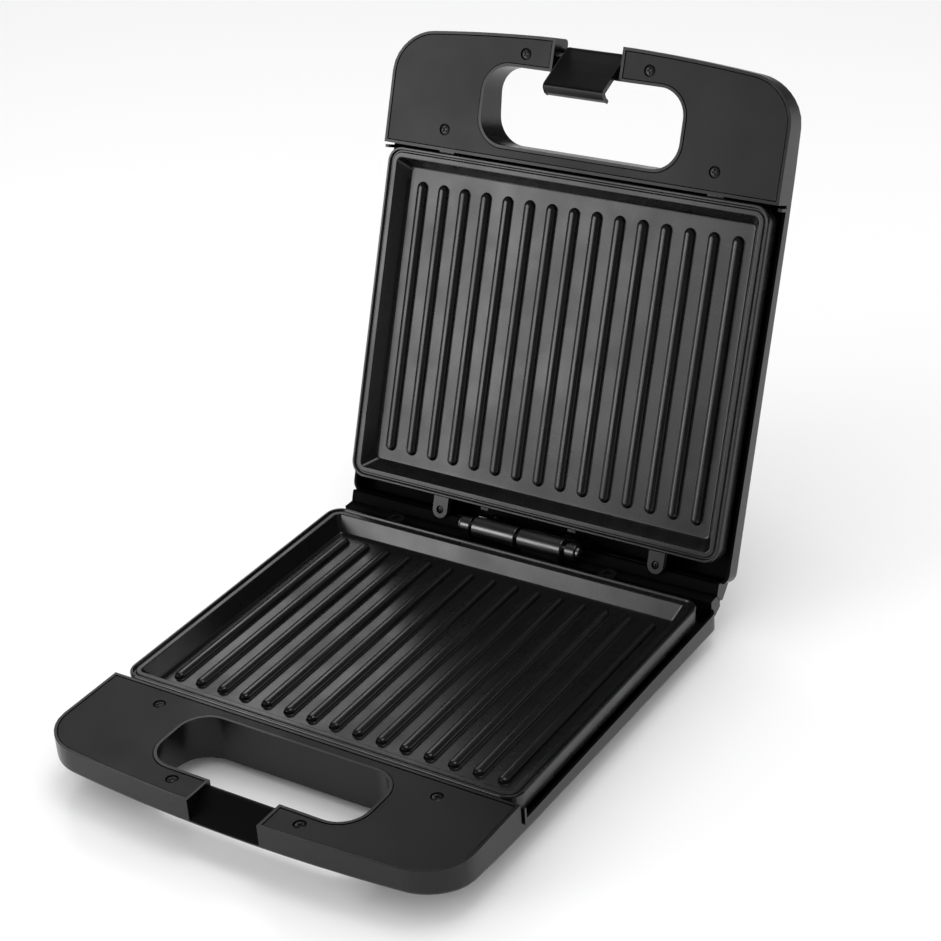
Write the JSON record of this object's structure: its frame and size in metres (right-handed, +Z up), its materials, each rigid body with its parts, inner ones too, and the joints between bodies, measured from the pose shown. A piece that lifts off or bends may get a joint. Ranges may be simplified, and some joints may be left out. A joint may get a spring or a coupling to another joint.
{
  "type": "panini press",
  "caption": "Open hinged panini press: two plastic half shells with ribbed non-stick grill plates, carry handles with finger openings, and a clip latch.",
  "frame": {"origin": "on the surface that the feet stand on, under the middle of the bounding box of the open press", "axes": "+Z up, +Y from the handles at the front towards the hinge and lid at the back, +X to the right for someone facing the front"},
  "size_m": [0.2444, 0.3823, 0.2854],
  "materials": {
    "housing": "black moulded plastic, satin to semi-gloss",
    "cover": "black moulded plastic with a fine matt texture",
    "coating": "cast aluminium with a mottled grey-black non-stick coating, soft sheen",
    "hinge": "black enamel, satin",
    "latch": "black moulded plastic, satin",
    "screw": "blackened steel",
    "steel": "bright steel",
    "spring_steel": "spring steel",
    "sheath": "dull steel tube sheath",
    "reflector": "thin aluminised steel sheet",
    "ceramic": "cream steatite ceramic",
    "fuse_sleeve": "woven glass sleeve",
    "silicone": "red silicone insulation",
    "rubber": "black rubber, matt",
    "red_lens": "clear red plastic",
    "green_lens": "clear green plastic",
    "lamp_glass": "clear glass"
  },
  "bodies": {
    "base": {"cord_gland": "rubber", "hinge_pin": "steel", "hinge_pin_clip": "spring_steel", "lower_clamp_screw_1": "screw", "lower_clamp_screw_2": "screw", "lower_cover_screw_1": "screw", "lower_cover_screw_2": "screw", "lower_cover_screw_3": "screw", "lower_cover_screw_4": "screw", "lower_element_clamp_1": "spring_steel", "lower_element_clamp_2": "spring_steel", "lower_grill_plate": "coating", "lower_handle_cover": "cover", "lower_heat_reflector": "reflector", "lower_heating_element": "sheath", "lower_hinge_leaf": "hinge", "lower_hinge_screw_1": "screw", "lower_hinge_screw_2": "screw", "lower_lead_1": "silicone", "lower_lead_2": "silicone", "lower_plate_screw_1": "screw", "lower_plate_screw_2": "screw", "lower_shell": "housing", "rubber_foot_1": "rubber", "rubber_foot_2": "rubber", "rubber_foot_3": "rubber", "rubber_foot_4": "rubber", "terminal_block": "ceramic", "thermal_fuse": "fuse_sleeve", "thermostat": "ceramic"},
    "lid": {"latch_pin": "steel", "power_lamp": "lamp_glass", "power_lens": "red_lens", "ready_lamp": "lamp_glass", "ready_lens": "green_lens", "upper_clamp_screw_1": "screw", "upper_clamp_screw_2": "screw", "upper_cover_screw_1": "screw", "upper_cover_screw_2": "screw", "upper_cover_screw_3": "screw", "upper_cover_screw_4": "screw", "upper_element_clamp_1": "spring_steel", "upper_element_clamp_2": "spring_steel", "upper_grill_plate": "coating", "upper_handle_cover": "cover", "upper_heat_reflector": "reflector", "upper_heating_element": "sheath", "upper_hinge_leaf": "hinge", "upper_hinge_screw_1": "screw", "upper_hinge_screw_2": "screw", "upper_lead_1": "silicone", "upper_lead_2": "silicone", "upper_plate_screw_1": "screw", "upper_plate_screw_2": "screw", "upper_shell": "housing"},
    "latch": {"latch": "latch"}
  },
  "joints": [
    {"name": "lid_hinge", "type": "hinge", "parent": "base", "child": "lid", "pos_m": [0, 0.0801, 0.033], "axis": [1, 0, 0], "range_deg": [0, 111.6]},
    {"name": "latch_pivot", "type": "hinge", "parent": "lid", "child": "latch", "pos_m": [0, 0.18708, 0.27565], "axis": [-1, 0, 0], "range_deg": [0, 75]}
  ]
}
